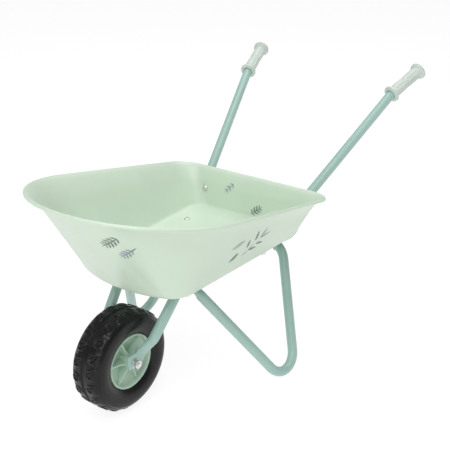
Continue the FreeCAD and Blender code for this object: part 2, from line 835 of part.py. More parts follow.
def axle_set():
    """The axle bolt, its spacer sleeve between the fork tabs, and its washers and nut."""
    tab_outside = "tab_x + tab_thick / 2"
    across = frame_at(axle, Vector(1, 0, 0))
    half_span = f"{tab_outside} + axle_washer"
    head = hexagon("axle_bolt_head", "axle_head_flats", "axle_head", f"0 - ({half_span}) - axle_head")
    length = f"2 * ({half_span}) + axle_nut + axle_tail"
    shank = cylinder("axle_bolt_shank", "axle_radius", length, f"0 - ({half_span})")
    node(joined("axle_bolt_whole", "Fuse", head, shank, across), "axle_bolt")
    bore = "axle_radius + fit_gap"
    between = "2 * (tab_x - tab_thick / 2)"
    sleeve = ring("axle_sleeve_tube", across, "sleeve_radius", bore, between, "tab_thick / 2 - tab_x")
    node(sleeve, "axle_sleeve")
    node(nut("axle_nut_whole", across, "axle_head_flats", bore, "axle_nut", half_span), "axle_nut")
    bases = {"l": tab_outside, "r": f"0 - ({half_span})"}
    washers = [ring(f"axle_washer_{side}", across, "axle_washer_radius", bore, "axle_washer", base)
               for side, base in bases.items()]
    group("axle_washers", washers)


crossbar_screws()
axle_set()
doc.recompute()

# ---------------------------------------------------------------- checks and files

for thing in doc.Objects:
    if "Invalid" in thing.State or "Error" in thing.State:
        raise RuntimeError(f"{thing.Name} did not recompute: {thing.State}")
for thing in nodes:
    if thing.Shape.isNull() or not thing.Shape.isValid():
        raise RuntimeError(f"{thing.Label} has no valid shape")

os.makedirs("parts", exist_ok=True)
for thing in nodes:
    thing.Shape.exportStep(f"parts/{thing.Label}.step")
    box = thing.Shape.optimalBoundingBox()
    print(thing.Label, thing.Shape.ShapeType, len(thing.Shape.Solids), round(thing.Shape.Volume),
          [round(v, 2) for v in (box.XMin, box.YMin, box.ZMin, box.XMax, box.YMax, box.ZMax)])
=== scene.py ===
"""The looks of a child's wheelbarrow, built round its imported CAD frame.

Lengths in this script are millimetres until make_mesh() turns them into metres; the camera, the lights
and the floor are placed in metres. "aft" is a distance behind the axle, "up" is a height above the
ground, +X is the user's left and -Y is forward.
"""
import json
import math

import bmesh
import bpy
from mathutils import Matrix, Vector
from mathutils.bvhtree import BVHTree


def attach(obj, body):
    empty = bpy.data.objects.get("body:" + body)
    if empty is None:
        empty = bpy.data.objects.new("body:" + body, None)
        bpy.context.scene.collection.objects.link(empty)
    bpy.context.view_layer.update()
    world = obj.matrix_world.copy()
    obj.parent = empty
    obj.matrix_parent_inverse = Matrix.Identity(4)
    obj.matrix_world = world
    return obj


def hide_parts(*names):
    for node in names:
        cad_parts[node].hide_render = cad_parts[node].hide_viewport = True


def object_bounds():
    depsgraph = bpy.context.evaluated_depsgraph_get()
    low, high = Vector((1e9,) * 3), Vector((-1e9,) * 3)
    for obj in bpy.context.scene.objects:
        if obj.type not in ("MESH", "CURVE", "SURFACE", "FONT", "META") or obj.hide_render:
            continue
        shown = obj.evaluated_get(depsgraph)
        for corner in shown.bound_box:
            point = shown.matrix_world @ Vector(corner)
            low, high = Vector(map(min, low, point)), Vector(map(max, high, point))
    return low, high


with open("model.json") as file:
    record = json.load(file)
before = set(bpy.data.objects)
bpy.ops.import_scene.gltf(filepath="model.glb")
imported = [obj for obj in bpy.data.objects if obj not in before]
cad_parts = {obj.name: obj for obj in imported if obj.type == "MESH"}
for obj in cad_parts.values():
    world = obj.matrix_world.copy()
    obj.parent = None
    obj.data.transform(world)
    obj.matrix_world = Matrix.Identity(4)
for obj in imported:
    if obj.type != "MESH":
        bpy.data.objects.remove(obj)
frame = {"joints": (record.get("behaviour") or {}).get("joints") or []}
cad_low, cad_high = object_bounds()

MM = 0.001
AXLE = Vector(frame["joints"][0]["pos_m"]) / MM
LEFT, AFT, UP = Vector((1, 0, 0)), Vector((0, 1, 0)), Vector((0, 0, 1))
MIRROR = Matrix.Scale(-1, 4, LEFT)

# ---------------- sizes shared with the frame

TUBE_RADIUS = 8.5
FLOOR_HEIGHT, FLOOR_SLOPE = 204.6, 0.0265
RIM_HEIGHT, RIM_SLOPE = 350.7, -0.18
SHEET = 1.0
FLOOR_EDGE, BEAD_RADIUS, LIP_OUT, LIP_UP = 16.0, 3.0, 11.5, 3.5
RIM = {
    "rear_x": 168.4, "mid_x": 175.7, "front_x": 180.9,
    "rear_aft": 375.9, "front_aft": -18.2, "nose_aft": -109.6,
    "rear_corner": 48.0, "front_corner": 174.2,
}
FLOOR = {
    "rear_x": 118.5, "mid_x": 113.0, "front_x": 106.0,
    "rear_aft": 351.5, "front_aft": 33.0, "nose_aft": 5.5,
    "rear_corner": 33.4, "front_corner": 42.0,
}
FRONT_BOLT_AFT, REAR_BOLT_AFT = 96.0, 278.0
FORK_TOP_X, REAR_CORNER_X = 60.6, 95.5
FORK_TOP_AFT, REAR_CORNER_AFT = 82.5, 356.3
FORK_BEND, REAR_BEND, HANDLE_BEND, GRIP_BEND = 20.6, 18.0, 26.0, 40.0
TUBE_IN_GRIP = 68.0
TAB_X, TAB_THICK = 31.0, 3.6
FOOT_BEND, BAR_BEND = 35.3, 41.0
WALL_BOLT_SHARE, WALL_TURN = 0.66, math.radians(-4.1)


def place(x, aft, up):
    return Vector((x, AXLE.y + aft, up))


def floor_under(aft):
    return FLOOR_HEIGHT + FLOOR_SLOPE * aft


def run_x(aft):
    """Distance of the frame tubes from the middle plane, under the tray."""
    share = (aft - FORK_TOP_AFT) / (REAR_CORNER_AFT - FORK_TOP_AFT)
    return FORK_TOP_X + share * (REAR_CORNER_X - FORK_TOP_X)


FLOOR_UP = Vector((0, -FLOOR_SLOPE, 1)).normalized()


def floor_point(aft, drop):
    """A point on the frame tube's line, a distance under the tray's underside."""
    return place(run_x(aft), aft, floor_under(aft)) - FLOOR_UP * drop


# the tubes' centre lines, as the corners that their bends round off
fork_foot = place(52.5, 24.1, 127.3)
fork_top = place(run_x(FORK_TOP_AFT), FORK_TOP_AFT, floor_under(FORK_TOP_AFT) - TUBE_RADIUS)
rear_corner = place(run_x(REAR_CORNER_AFT), REAR_CORNER_AFT, floor_under(REAR_CORNER_AFT) - TUBE_RADIUS)
handle_foot = place(107.9, 370.4, 265.0)
grip_mouth = place(162.6, 577.3, 424.9)
grip_end = place(180.6, 653.2, 459.4)
grip_along = (grip_end - grip_mouth).normalized()
leg_top = place(83.6, 109.4, 174.4)
foot_corner = place(190.0, 237.6, -37.8)
bar_corner = place(93.8, 326.76, 193.37)
# where the crossbar's bend touches the frame tube, on the two centre lines
bar_touch, tube_touch = place(84.3, 325.16, 189.24), place(91.36, 323.85, 204.68)
# the rear wall's bolts go through the frame tubes' rise behind the tray
wall_centre = rear_corner + (handle_foot - rear_corner) * WALL_BOLT_SHARE
wall_up = (handle_foot - rear_corner).normalized()
wall_in = Matrix.Rotation(WALL_TURN, 3, wall_up) @ LEFT.cross(wall_up).normalized()

# ---------------- materials


def shader(name, colour, roughness, **sockets):
    """A new material with a Principled shader; further keywords are its sockets."""
    material = bpy.data.materials.new(name)
    material.use_nodes = True
    tree = material.node_tree
    principled = tree.nodes["Principled BSDF"]
    principled.inputs["Base Color"].default_value = (*colour, 1)
    principled.inputs["Roughness"].default_value = roughness
    for socket, value in sockets.items():
        principled.inputs[socket.replace("_", " ")].default_value = value
    return material, tree, principled


def linear(*srgb):
    """An 8-bit sRGB colour as linear values."""
    return tuple(((v / 255 + 0.055) / 1.055) ** 2.4 for v in srgb)


def object_noise(tree, scale, detail=3.0, roughness=0.5):
    """Noise in the object's own coordinates; scale is in features per metre."""
    coordinates = tree.nodes.new("ShaderNodeTexCoord")
    texture = tree.nodes.new("ShaderNodeTexNoise")
    texture.inputs["Scale"].default_value = scale
    texture.inputs["Detail"].default_value = detail
    texture.inputs["Roughness"].default_value = roughness
    tree.links.new(coordinates.outputs["Object"], texture.inputs["Vector"])
    return texture.outputs["Fac"]


def spread(tree, factor, low, high):
    """Map a factor's middle range onto low..high."""
    node = tree.nodes.new("ShaderNodeMapRange")
    node.inputs["From Min"].default_value = 0.3
    node.inputs["From Max"].default_value = 0.7
    node.inputs["To Min"].default_value = low
    node.inputs["To Max"].default_value = high
    tree.links.new(factor, node.inputs["Value"])
    return node.outputs["Result"]


def two_tone(tree, principled, factor, low, high):
    """Colour that wanders between two near tones."""
    node = tree.nodes.new("ShaderNodeMix")
    node.data_type = "RGBA"
    node.inputs["A"].default_value = (*low, 1)
    node.inputs["B"].default_value = (*high, 1)
    tree.links.new(factor, node.inputs["Factor"])
    tree.links.new(node.outputs["Result"], principled.inputs["Base Color"])


def bumpy(tree, principled, heights, distance):
    """Surface texture from a list of (height output, strength); distance is in metres."""
    normal = None
    for height, strength in heights:
        bump = tree.nodes.new("ShaderNodeBump")
        bump.inputs["Strength"].default_value = strength
        bump.inputs["Distance"].default_value = distance
        tree.links.new(height, bump.inputs["Height"])
        if normal:
            tree.links.new(normal, bump.inputs["Normal"])
        normal = bump.outputs["Normal"]
    tree.links.new(normal, principled.inputs["Normal"])


def shade(colour, factor):
    return tuple(min(1.0, v * factor) for v in colour)


def painted(name, colour, roughness, coat):
    """Stoved enamel: faint orange peel, slow drifts of tone and gloss, tiny specks of dust."""
    material, tree, principled = shader(name, colour, roughness, Coat_Weight=coat, Coat_Roughness=0.22)
    drift = spread(tree, object_noise(tree, 9), 0, 1)
    two_tone(tree, principled, drift, shade(colour, 0.965), shade(colour, 1.03))
    gloss = spread(tree, object_noise(tree, 35, 5), roughness - 0.05, roughness + 0.06)
    tree.links.new(gloss, principled.inputs["Roughness"])
    peel, dust = object_noise(tree, 420, 2), object_noise(tree, 2600, 1)
    bumpy(tree, principled, [(peel, 0.10), (dust, 0.05)], 0.0004)
    return material


def moulded(name, colour, roughness, grain, **sockets):
    """Moulded plastic with a spark-eroded grain and slight flow marks."""
    material, tree, principled = shader(name, colour, roughness, **sockets)
    flow = spread(tree, object_noise(tree, 28, 4), 0, 1)
    two_tone(tree, principled, flow, shade(colour, 0.93), shade(colour, 1.06))
    gloss = spread(tree, object_noise(tree, 60, 4), roughness - 0.06, roughness + 0.07)
    tree.links.new(gloss, principled.inputs["Roughness"])
    fine, coarse = object_noise(tree, 1900, 2), object_noise(tree, 240, 3)
    bumpy(tree, principled, [(fine, grain), (coarse, grain * 0.5)], 0.0003)
    return material


def zinc_plated(name):
    """Bright zinc plate with faint blue and yellow clouds and fine turning marks."""
    material, tree, principled = shader(name, linear(206, 206, 204), 0.3, Metallic=1.0)
    cloud = spread(tree, object_noise(tree, 160, 4), 0, 1)
    two_tone(tree, principled, cloud, linear(214, 217, 220), linear(235, 233, 225))
    gloss = spread(tree, object_noise(tree, 500, 4), 0.22, 0.42)
    tree.links.new(gloss, principled.inputs["Roughness"])
    bumpy(tree, principled, [(object_noise(tree, 3000, 2), 0.2)], 0.0002)
    return material


MINT = linear(205, 222, 203)
SAGE = linear(158, 190, 181)
enamel_mint = painted("mint_enamel", MINT, 0.38, 0.25)
enamel_sage = painted("sage_enamel", SAGE, 0.36, 0.3)
plastic_grip = moulded("grip_plastic", linear(198, 209, 201), 0.5, 0.25)
plastic_hub = moulded("hub_plastic", linear(184, 209, 191), 0.4, 0.2)
plastic_bush = moulded("bush_nylon", linear(216, 217, 210), 0.45, 0.15)
plastic_tyre = moulded("tyre_plastic", linear(14, 14, 15), 0.27, 0.16, Specular_IOR_Level=0.3)
zinc = zinc_plated("zinc_plate")
ink_dark = moulded("leaf_ink_dark", linear(124, 137, 125), 0.45, 0.1)
ink_blue = moulded("leaf_ink_blue", linear(146, 158, 172), 0.45, 0.1)
ink_pale = moulded("leaf_ink_pale", linear(170, 184, 172), 0.45, 0.1)

# ---------------- mesh tools


def make_mesh(name, vertices, faces, material, body, slot, replaced=(), sharp=38):
    """A shaded object from vertices in millimetres, riding on a body."""
    mesh = bpy.data.meshes.new(name)
    mesh.from_pydata([tuple(v * MM) for v in vertices], [], faces)
    work = bmesh.new()
    work.from_mesh(mesh)
    bmesh.ops.remove_doubles(work, verts=work.verts, dist=0.002 * MM)
    bmesh.ops.recalc_face_normals(work, faces=work.faces)
    work.to_mesh(mesh)
    work.free()
    mesh.shade_smooth()
    mesh.set_sharp_from_angle(angle=math.radians(sharp))
    mesh.materials.append(material)
    thing = bpy.data.objects.new(name, mesh)
    bpy.context.scene.collection.objects.link(thing)
    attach(thing, body)
    if replaced:
        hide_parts(*replaced)
    return thing


def joined(*parts):
    """Several (vertices, faces) pairs as one."""
    vertices, faces = [], []
    for part_vertices, part_faces in parts:
        first = len(vertices)
        vertices += part_vertices
        faces += [tuple(first + i for i in face) for face in part_faces]
    return vertices, faces


def moved(part, matrix):
    vertices, faces = part
    return [matrix @ v for v in vertices], faces


def mirrored(part):
    """The part's image about the middle plane, its faces still outwards."""
    vertices, faces = moved(part, MIRROR)
    return vertices, [tuple(reversed(face)) for face in faces]


def both_sides(part):
    return joined(part, mirrored(part))


def turns(count):
    """The angles of a full turn in equal steps."""
    return [2 * math.pi * i / count for i in range(count)]


def polar(radius, angle, along):
    """A point about the local Z axis."""
    return Vector((radius * math.cos(angle), radius * math.sin(angle), along))


def skin(rings, around=False, capped=True):
    """Quads between rings of equal length; around joins the last ring to the first."""
    count = len(rings[0])
    vertices = [point for ring in rings for point in ring]
    faces = []
    for i in range(len(rings) if around else len(rings) - 1):
        low, high = i * count, ((i + 1) % len(rings)) * count
        for j in range(count):
            k = (j + 1) % count
            faces.append((low + j, low + k, high + k, high + j))
    if capped and not around:
        faces.append(tuple(reversed(range(count))))
        faces.append(tuple(range((len(rings) - 1) * count, len(rings) * count)))
    return vertices, faces


def smoothstep(share):
    share = min(1.0, max(0.0, share))
    return share * share * (3 - 2 * share)


def bend(start, corner, stop, t):
    """A point on the parabola that leaves start and reaches stop along their lines to the corner."""
    return start * (1 - t) ** 2 + corner * 2 * t * (1 - t) + stop * t**2


def eased(points, radii, steps=4):
    """A closed polyline of (along, radius) pairs with its corners rounded, except where a radius is 0."""
    out = []
    count = len(points)
    for i, (corner, radius) in enumerate(zip(points, radii)):
        here = Vector(corner)
        before = Vector(points[i - 1]) - here
        after = Vector(points[(i + 1) % count]) - here
        if radius <= 0:
            out.append(tuple(here))
            continue
        reach = min(radius, before.length * 0.49, after.length * 0.49)
        start = here + before.normalized() * reach
        stop = here + after.normalized() * reach
        out += [tuple(bend(start, here, stop, step / steps)) for step in range(steps + 1)]
    return out


def lathe(profile, segments=64, poles=False):
    """Turn (along, radius) pairs about the local Z axis; closed, or ending on the axis at both poles."""
    rings = [[polar(radius, angle, along) for angle in turns(segments)] for along, radius in profile]
    return skin(rings, around=not poles, capped=poles)


def axes_at(origin, up, ahead=AFT):
    """A matrix whose +Z is up and whose +X lies near ahead."""
    up = up.normalized()
    ahead = (ahead - up * ahead.dot(up)).normalized()
    side = up.cross(ahead)
    return Matrix.Translation(origin) @ Matrix((ahead, side, up)).transposed().to_4x4()


def raised(height):
    return Matrix.Translation((0, 0, height))


# ---------------- tray


def circle_through(a, b, c):
    """Centre and radius of the circle through three points in the plane."""
    d = 2 * (a.x * (b.y - c.y) + b.x * (c.y - a.y) + c.x * (a.y - b.y))
    aa, bb, cc = a.length_squared, b.length_squared, c.length_squared
    x = (aa * (b.y - c.y) + bb * (c.y - a.y) + cc * (a.y - b.y)) / d
    y = (aa * (c.x - b.x) + bb * (a.x - c.x) + cc * (b.x - a.x)) / d
    centre = Vector((x, y))
    return centre, (a - centre).length


def circle_meet(first, first_radius, second, second_radius):
    """The forward one of the two meeting points of two circles in the plane."""
    gap = second - first
    span = gap.length
    along = (first_radius**2 - second_radius**2 + span**2) / (2 * span)
    aside = math.sqrt(first_radius**2 - along**2)
    foot = first + gap * (along / span)
    across = Vector((-gap.y, gap.x)) * (aside / span)
    return min(foot + across, foot - across, key=lambda point: point.y)


def shrink(plan, inset):
    """An outline's sizes with every side moved inwards."""
    small = {name: value - inset for name, value in plan.items()}
    small["front_aft"] = plan["front_aft"]
    small["nose_aft"] = plan["nose_aft"] + inset
    return small


def mix(low, high, share):
    """A value, or each size of a plan, part of the way from low to high."""
    if isinstance(low, dict):
        return {name: mix(low[name], high[name], share) for name in low}
    return low + (high - low) * share


def arc_points(centre, start, stop, count):
    """Points along the short arc from start towards stop, without the last."""
    first = math.atan2(start.y - centre.y, start.x - centre.x)
    turn = math.atan2(stop.y - centre.y, stop.x - centre.x) - first
    turn = (turn + math.pi) % (2 * math.pi) - math.pi
    radius = (start - centre).length
    angles = (first + turn * i / count for i in range(count))
    return [centre + Vector((math.cos(a), math.sin(a))) * radius for a in angles]


CORNER_POINTS, SIDE_POINTS, NOSE_POINTS, REAR_POINTS = 18, 36, 36, 28


def outline(plan, height, slope):
    """A closed ring of points on tangent arcs, in a plane tilted about the axle's line."""
    stretch = math.hypot(1, slope)
    plan = {name: value * (stretch if name.endswith("aft") else 1) for name, value in plan.items()}
    mid_aft = (plan["rear_aft"] + plan["front_aft"]) / 2
    shoulder = Vector((plan["front_x"], plan["front_aft"]))
    side, side_radius = circle_through(
        Vector((plan["rear_x"], plan["rear_aft"])), Vector((plan["mid_x"], mid_aft)), shoulder)
    nose, nose_radius = circle_through(
        shoulder, Vector((0, plan["nose_aft"])), Vector((-shoulder.x, shoulder.y)))
    rear_radius, front_radius = plan["rear_corner"], plan["front_corner"]
    front = circle_meet(side, side_radius - front_radius, nose, nose_radius - front_radius)
    rear_y = plan["rear_aft"] - rear_radius
    rear = Vector((side.x + math.sqrt((side_radius - rear_radius) ** 2 - (rear_y - side.y) ** 2), rear_y))
    rear_start = rear + Vector((0, rear_radius))
    rear_stop = rear + (rear - side).normalized() * rear_radius
    front_start = front + (front - side).normalized() * front_radius
    front_stop = front + (front - nose).normalized() * front_radius
    half = arc_points(rear, rear_start, rear_stop, CORNER_POINTS)
    half += arc_points(side, rear_stop, front_start, SIDE_POINTS)
    half += arc_points(front, front_start, front_stop, CORNER_POINTS)
    ring = half + arc_points(nose, front_stop, Vector((-front_stop.x, front_stop.y)), NOSE_POINTS)
    ring += [Vector((-p.x, p.y)) for p in [front_stop] + half[:0:-1]]
    corner = Vector((-rear_start.x, rear_start.y))
    ring += [corner.lerp(rear_start, i / REAR_POINTS) for i in range(REAR_POINTS)]
    tilt = math.atan(slope)
    return [Vector((p.x, AXLE.y + p.y * math.cos(tilt), height + p.y * math.sin(tilt))) for p in ring]


WALL_ANGLE = math.radians(66)
brim_plan = shrink(RIM, BEAD_RADIUS + LIP_OUT)
brim_height = RIM_HEIGHT - LIP_UP


def tray_level(share, inset, lift):
    """The tray's ring at a share of its height, moved inwards and upwards."""
    return outline(
        shrink(mix(FLOOR, brim_plan, share), inset),
        mix(FLOOR_HEIGHT, brim_height, share) + lift,
        mix(FLOOR_SLOPE, RIM_SLOPE, share),
    )


def curve_between(first, corner, last, steps):
    """Rings that turn smoothly from one ring to another past a corner ring."""
    shares = [step / steps for step in range(steps + 1)]
    return [[bend(a, b, c, t) for a, b, c in zip(first, corner, last)] for t in shares]


def toward(ring, target, distance):
    return [a + (b - a).normalized() * distance for a, b in zip(ring, target)]


EDGE_STEPS, WALL_STEPS, BRIM_STEPS, ROLL_STEPS = 12, 14, 8, 18
LIP_DROP, KNEE_SHARE, LIP_EASE = 26.0, 0.3, 7.0
ROLL_START, ROLL_TURN = 100, 250


def tray_rings():
    """The sheet's middle surface as rings, from the middle of the floor to the end of the rolled edge."""
    skin_depth = SHEET / 2
    radius = FLOOR_EDGE - skin_depth
    wall = skin_depth / math.sin(WALL_ANGLE)
    high = brim_height - FLOOR_HEIGHT
    reach = radius * math.tan(WALL_ANGLE / 2)
    foot = tray_level(0, reach + wall, skin_depth)
    centre = place(0, (FLOOR["rear_aft"] + FLOOR["nose_aft"]) / 2, 0)
    centre.z = floor_under(centre.y - AXLE.y) + skin_depth
    rings = [[centre.lerp(p, share) for p in foot] for share in (0.02, 0.25, 0.5, 0.72, 0.9)]
    for step in range(EDGE_STEPS + 1):
        angle = WALL_ANGLE * step / EDGE_STEPS
        lift = radius * (1 - math.cos(angle))
        inset = reach - radius * math.sin(angle) + lift / math.tan(WALL_ANGLE)
        rings.append(tray_level(lift / high, inset + wall, skin_depth))
    bottom = rings[-1]
    corner = tray_level(1, wall, skin_depth / 2)
    bead = outline(shrink(RIM, BEAD_RADIUS), RIM_HEIGHT, RIM_SLOPE)
    roll = BEAD_RADIUS - skin_depth
    # the lip leaves the wall, rises to the bead's crown and rolls over it
    crown = [b + Vector((0, 0, roll)) for b in bead]
    wall_end = toward(corner, bottom, LIP_DROP)
    knee = [a.lerp(b, KNEE_SHARE) for a, b in zip(corner, crown)]
    lip_start = toward(knee, crown, LIP_EASE)
    for step in range(1, WALL_STEPS):
        share = step / WALL_STEPS
        rings.append([a.lerp(b, share) for a, b in zip(bottom, wall_end)])
    rings += curve_between(wall_end, knee, lip_start, BRIM_STEPS)
    runs = [after - before for after, before in zip(bead[1:] + bead[:1], bead[-1:] + bead[:-1])]
    outward = [Vector((run.y, -run.x, 0)).normalized() for run in runs]
    sign = 1 if outward[0].dot(bead[0] - centre) > 0 else -1
    for step in range(ROLL_STEPS + 1):
        angle = math.radians(ROLL_START - ROLL_TURN * step / ROLL_STEPS)
        rings.append([
            b + o * (sign * math.cos(angle) * roll) + UP * (math.sin(angle) * roll)
            for b, o in zip(bead, outward)
        ])
    return rings


def tray():
    rings = tray_rings()
    vertices, faces = skin(rings, capped=False)
    faces.append(tuple(reversed(range(len(rings[0])))))
    thing = make_mesh("tray_shell", vertices, faces, enamel_mint, "frame", "tray_enamel", ["tray"])
    thick = thing.modifiers.new("sheet", "SOLIDIFY")
    thick.thickness = SHEET * MM
    thick.offset = 0
    return thing


tray_shell = tray()

# ---------------- printed leaves

tray_skin = BVHTree.FromObject(tray_shell, bpy.context.evaluated_depsgraph_get())
INK_LIFT, INK_THICK = 0.05, 0.14
# where the rays that look for the tray start: outside it, over its floor, and off a wall
FAR_OUT, OVER_FLOOR, OFF_WALL = 300, 200, 15
FRONT_FACE = Vector((0.28, -0.81, -0.51)).normalized()
SIDE_FACE = Vector((0.91, -0.03, -0.42)).normalized()
REAR_FACE = Vector((0, -0.99, 0.15)).normalized()


def met(start, way):
    """Where a ray first meets the tray, and the surface's normal there."""
    hit, normal = tray_skin.ray_cast(start * MM, way)[:2]
    return hit / MM, normal


def on_side(aft, up):
    return met(place(FAR_OUT, aft, up), -LEFT)[0]


def on_nose(x, up):
    return met(place(x, -FAR_OUT, up), AFT)[0]


def inside_rear(x, up):
    return met(place(x, OVER_FLOOR, up), AFT)[0]


def laid_on(point, facing):
    """The point carried onto the tray along the print's facing direction."""
    hit, normal = met(point + facing * OFF_WALL, -facing)
    return hit + normal * INK_LIFT


def leaf(start, tip, facing, half_width, bow=0.0):
    """A pointed leaf from its stalk to its tip, laid on the tray; bow curves its midrib."""
    across = facing.cross(tip - start).normalized()
    length, width = 16, (-1, -0.5, 0, 0.5, 1)
    vertices, faces = [], []
    for i in range(length + 1):
        t = i / length
        half = half_width * math.sin(math.pi * t ** 0.85) ** 0.8 if 0 < i < length else 0.02
        centre = start.lerp(tip, t) + across * bow * math.sin(math.pi * t)
        vertices += [laid_on(centre + across * half * share, facing) for share in width]
    for i in range(length):
        for j in range(len(width) - 1):
            low = i * len(width) + j
            faces.append((low, low + 1, low + 1 + len(width), low + len(width)))
    return vertices, faces


def lobed_leaf(start, tip, facing, half_width, pairs):
    """A leaf cut into pairs of pointed lobes along its midrib."""
    parts = [leaf(start, tip, facing, half_width * 0.14)]
    run = (tip - start).normalized()
    across = facing.cross(run).normalized()
    for pair in range(pairs):
        t = (pair + 0.4) / (pairs + 0.2)
        root = start.lerp(tip, t * 0.86)
        reach = half_width * (0.62 + 0.38 * math.sin(math.pi * (t + 0.1)))
        for side in (-1, 1):
            end = root + across * side * reach + run * reach * 0.85
            parts.append(leaf(root, end, facing, reach * 0.21, 0.06 * reach * side))
    return joined(*parts)


def outlined_leaf(start, tip, facing, half_width):
    """Two bowed strokes that meet at both ends."""
    return joined(*(leaf(start, tip, facing, 0.85, bow) for bow in (half_width, -half_width)))


def add_print(name, material, *parts):
    thing = make_mesh(name, *joined(*parts), material, "frame", "tray_enamel")
    film = thing.modifiers.new("film", "SOLIDIFY")
    film.thickness = INK_THICK * MM
    film.offset = 0


STALK, FORK, TWIG_END = on_side(155, 243), on_side(169, 249), on_side(179, 258)
add_print(
    "leaf_print_dark", ink_dark,
    leaf(STALK, FORK, SIDE_FACE, 1.1),
    leaf(FORK, TWIG_END, SIDE_FACE, 1.1),
    leaf(FORK, on_side(191, 247), SIDE_FACE, 2.8),
    leaf(on_side(179, 264), on_side(177, 284), SIDE_FACE, 3.2),
    leaf(on_side(162, 256), on_side(160, 273), SIDE_FACE, 3.0),
    leaf(on_side(185, 256), on_side(206, 251), SIDE_FACE, 2.6),
    leaf(on_side(141, 254), on_side(123, 243), SIDE_FACE, 4.6, 1.0),
    outlined_leaf(on_side(191, 265), on_side(201, 281), SIDE_FACE, 2.0),
    outlined_leaf(on_side(191, 265), on_side(216, 268), SIDE_FACE, 2.0),
    lobed_leaf(on_nose(72, 336), on_nose(32, 310), FRONT_FACE, 10.5, 5),
    leaf(on_nose(89, 319), on_nose(72, 306), FRONT_FACE, 1.3),
    lobed_leaf(inside_rear(7, 222), inside_rear(32, 241), REAR_FACE, 8.0, 4),
)
add_print(
    "leaf_print_blue", ink_blue,
    lobed_leaf(on_nose(82, 314), on_nose(53, 293), FRONT_FACE, 9.0, 4),
    lobed_leaf(inside_rear(-37, 269), inside_rear(-58, 247), REAR_FACE, 6.5, 3),
)
add_print("leaf_print_pale", ink_pale, leaf(on_side(145, 277), on_side(115, 271), SIDE_FACE, 4.6, 1.2))

# ---------------- tubes


def rounded_path(points, radii, step_angle=5.0):
    """Centres and directions along straight runs joined by tangent arcs."""
    out = [(points[0], (points[1] - points[0]).normalized())]
    for before, corner, after, radius in zip(points, points[1:], points[2:], radii):
        into = (before - corner).normalized()
        away = (after - corner).normalized()
        half = into.angle(away) / 2
        reach = radius / math.tan(half)
        centre = corner + (into + away).normalized() * (radius / math.sin(half))
        first, last = corner + into * reach, corner + away * reach
        turn = math.pi - 2 * half
        steps = max(3, round(math.degrees(turn) / step_angle))
        axis = (first - centre).cross(last - centre).normalized()
        for step in range(steps + 1):
            spin = Matrix.Rotation(turn * step / steps, 3, axis)
            out.append((centre + spin @ (first - centre), spin @ -into))
    out.append((points[-1], (points[-1] - points[-2]).normalized()))
    return out


AROUND = 48
ROUND, BOXY = 2.0, 7.0


def section(centre, along, broad, half_broad, half_thin, squareness=ROUND):
    """A ring across a direction: an ellipse at squareness 2, and nearer a rectangle above."""
    along = along.normalized()
    broad = (broad - along * broad.dot(along)).normalized()
    thin = along.cross(broad)
    ring = []
    for angle in turns(AROUND):
        c, s = math.cos(angle), math.sin(angle)
        u = math.copysign(abs(c) ** (2 / squareness), c) * half_broad
        v = math.copysign(abs(s) ** (2 / squareness), s) * half_thin
        ring.append(centre + broad * u + thin * v)
    return ring


def flat_end(tip, along, broad, length, half_width, half_thick, nose_radius):
    """Rings of a flattened tab from its nose inwards; along points from the nose into the tube."""
    rings = []
    steps, edge_depth, edge_loss = 8, 1.2, 0.3
    depths = [nose_radius * (1 - math.cos(math.pi / 2 * i / steps)) for i in range(steps + 1)]
    depths[0] = 0.02
    depths += [length * 0.7, length]
    for depth in depths:
        inside = max(0.0, nose_radius - depth)
        half = max(half_width - nose_radius + math.sqrt(max(0.0, nose_radius**2 - inside**2)), 0.4)
        edge = 1 - edge_loss * max(0.0, 1 - depth / edge_depth) ** 2
        rings.append(section(tip + along * depth, along, broad, half, half_thick * edge, BOXY))
    return rings


def neck(start, start_along, stop, stop_along, broad_of, half_width, half_thick, steps=22):
    """Rings that turn a flat tab into the round tube along a smooth bend."""
    span = (stop - start).length
    rings = []
    for step in range(1, steps):
        t = step / steps
        centre = (
            start * (2 * t**3 - 3 * t**2 + 1) + start_along * span * (t**3 - 2 * t**2 + t)
            + stop * (3 * t**2 - 2 * t**3) + stop_along * span * (t**3 - t**2)
        )
        along = (
            start * (6 * t**2 - 6 * t) + start_along * span * (3 * t**2 - 4 * t + 1)
            + stop * (6 * t - 6 * t**2) + stop_along * span * (3 * t**2 - 2 * t)
        ).normalized()
        # the width reaches the tube's last, its thickness before that, and the square corners go first
        half_broad = mix(half_width, TUBE_RADIUS, smoothstep(t * 1.05))
        half_thin = mix(half_thick, TUBE_RADIUS, smoothstep(t * 1.15))
        squareness = mix(BOXY, ROUND, smoothstep(t * 1.6))
        rings.append(section(centre, along, broad_of(along), half_broad, half_thin, squareness))
    return rings


def tube_rings(path, broad):
    """Round rings along a path, carried on without twist from a first broad direction."""
    rings = []
    for centre, along in path:
        broad = (broad - along * broad.dot(along)).normalized()
        rings.append(section(centre, along, broad, TUBE_RADIUS, TUBE_RADIUS))
    return rings


def yz_across(along):
    """The direction square to a line, in the plane seen from the side."""
    return Vector((0, -along.z, along.y))


def catmull(a, b, c, d, t):
    """A value between b and c on a smooth curve through four values."""
    return 0.5 * (2 * b + (c - a) * t + (2 * a - 5 * b + 4 * c - d) * t**2 + (3 * b - a - 3 * c + d) * t**3)


